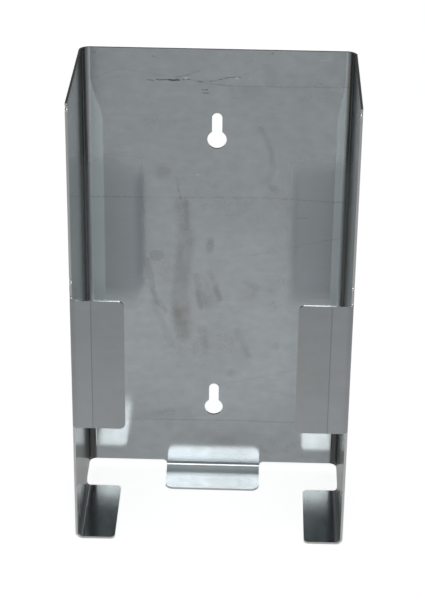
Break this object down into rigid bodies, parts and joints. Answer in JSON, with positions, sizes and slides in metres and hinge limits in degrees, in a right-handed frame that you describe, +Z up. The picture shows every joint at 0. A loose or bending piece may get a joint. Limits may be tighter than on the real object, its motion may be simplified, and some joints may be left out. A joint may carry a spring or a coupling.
{
  "type": "disposable glove dispenser",
  "caption": "Open-front wall dispenser for a carton of disposable gloves, folded from stainless sheet, with side lips, base tabs and hanging keyholes.",
  "frame": {"origin": "on the rear face of the back panel, midway between the entry circles of the keyholes", "axes": "+Z up, +Y out of the rear face into the wall, +X to the right seen from the front; the open front faces -Y"},
  "size_m": [0.14, 0.082, 0.2484],
  "materials": {
    "satin_steel": "satin mill finish with a vertical grain, fine scratches and handling smudges"
  },
  "bodies": {
    "root": {"folded_body": "satin_steel"}
  },
  "joints": []
}
